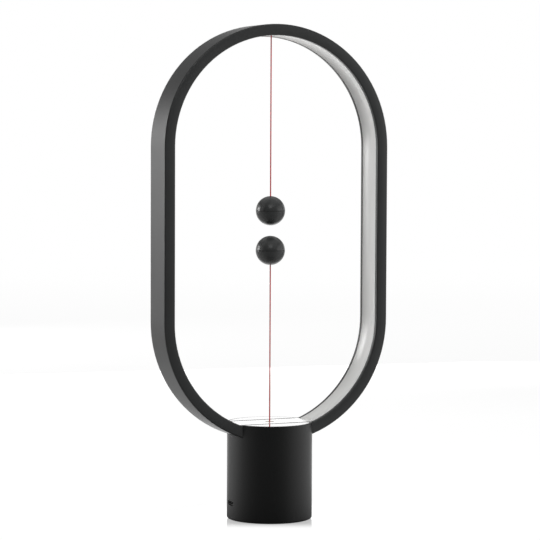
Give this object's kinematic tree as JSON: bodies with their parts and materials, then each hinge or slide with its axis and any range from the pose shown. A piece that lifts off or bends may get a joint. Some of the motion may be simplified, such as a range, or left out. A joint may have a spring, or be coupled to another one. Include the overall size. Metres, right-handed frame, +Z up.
{
  "type": "balance lamp",
  "caption": "Upright oval ring light on a round weighted base; two magnet balls on cords inside the ring pull together and switch it.",
  "frame": {"origin": "on the floor under the middle of the base", "axes": "+Z up, ring in the XZ plane, front faces -Y, port on the -X side"},
  "size_m": [0.196, 0.0692, 0.4],
  "materials": {
    "ring_plastic": "satin black moulded plastic",
    "base_plastic": "satin black moulded plastic",
    "diffuser": "frosted white plastic",
    "ball_plastic": "satin black moulded plastic",
    "inner_plastic": "moulded, unfinished",
    "slide_plastic": "natural acetal",
    "cord_red": "braided red cord",
    "strip_board": "white solder mask",
    "light_chip": "phosphor lens",
    "screw_steel": "zinc plated",
    "spring_steel": "drawn",
    "port_steel": "nickel plated",
    "ballast_steel": "sawn bar, oiled",
    "terminal_brass": "stamped",
    "bead_brass": "turned",
    "magnet": "nickel plated",
    "circuit_board": "green solder mask",
    "component": "moulded",
    "lead_sheath": "PVC sheath",
    "foot_rubber": "matt"
  },
  "bodies": {
    "lamp": {"ring_frame": "ring_plastic", "base_housing": "base_plastic", "top_cover_front": "base_plastic", "top_cover_rear": "base_plastic", "ring_diffuser": "diffuser", "top_strip": "diffuser", "cord_eyelet": "diffuser", "led_strip_board": "strip_board", "led_chips": "light_chip", "ring_screws": "screw_steel", "chassis_plate": "inner_plastic", "chassis_screws": "screw_steel", "bottom_cover": "base_plastic", "bottom_screws": "screw_steel", "foot_pad": "foot_rubber", "ballast_weight": "ballast_steel", "board_tray": "inner_plastic", "control_board": "circuit_board", "usb_shell": "port_steel", "usb_tongue": "inner_plastic", "board_components": "component", "switch_leads": "lead_sheath", "led_leads": "lead_sheath", "guide_sleeve": "slide_plastic", "switch_body": "inner_plastic", "switch_terminals": "terminal_brass", "switch_screws": "screw_steel", "upper_cord_anchor": "slide_plastic"},
    "upper_cord_swivel": {"upper_cord_bead": "bead_brass"},
    "upper_pendulum": {"upper_cord": "cord_red", "upper_ball_top_half": "ball_plastic", "upper_ball_bottom_half": "ball_plastic", "upper_magnet": "magnet", "upper_cord_crimp": "bead_brass"},
    "plunger": {"plunger": "slide_plastic", "return_spring": "spring_steel"},
    "lower_cord_swivel": {"lower_cord_bead": "bead_brass"},
    "lower_pendulum": {"lower_cord": "cord_red", "lower_ball_top_half": "ball_plastic", "lower_ball_bottom_half": "ball_plastic", "lower_magnet": "magnet", "lower_cord_crimp": "bead_brass"},
    "switch_lever": {"switch_lever": "spring_steel"},
    "switch_button": {"switch_button": "slide_plastic"}
  },
  "joints": [
    {"name": "upper_swing_fore_aft", "type": "hinge", "parent": "lamp", "child": "upper_cord_swivel", "pos_m": [0, 0, 0.39265], "axis": [1, 0, 0], "range_deg": [-45, 45]},
    {"name": "upper_swing_sideways", "type": "hinge", "parent": "upper_cord_swivel", "child": "upper_pendulum", "pos_m": [0, 0, 0.39265], "axis": [0, 1, 0], "range_deg": [-30, 30]},
    {"name": "plunger_pull", "type": "slide", "parent": "lamp", "child": "plunger", "axis": [0, 0, 1], "range_m": [-0.0015, 0], "stiffness_N_per_m": 150, "springref_m": 0.006},
    {"name": "lower_swing_fore_aft", "type": "hinge", "parent": "plunger", "child": "lower_cord_swivel", "pos_m": [0, 0, 0.0779], "axis": [1, 0, 0], "range_deg": [-30, 30], "stiffness_Nm_per_rad": 0.2},
    {"name": "lower_swing_sideways", "type": "hinge", "parent": "lower_cord_swivel", "child": "lower_pendulum", "pos_m": [0, 0, 0.0779], "axis": [0, 1, 0], "range_deg": [-30, 30], "stiffness_Nm_per_rad": 0.2},
    {"name": "switch_lever_pivot", "type": "hinge", "parent": "lamp", "child": "switch_lever", "pos_m": [0.0192, 0, 0.0465], "axis": [0, 1, 0], "range_deg": [-6.5, 0]},
    {"name": "switch_button_press", "type": "slide", "parent": "lamp", "child": "switch_button", "axis": [0, 0, 1], "range_m": [-0.00075, 0]}
  ],
  "couplings": [
    {"joint": "switch_lever_pivot", "follows": "plunger_pull", "rad_per_m": 64},
    {"joint": "switch_button_press", "follows": "plunger_pull", "ratio": 0.46}
  ]
}
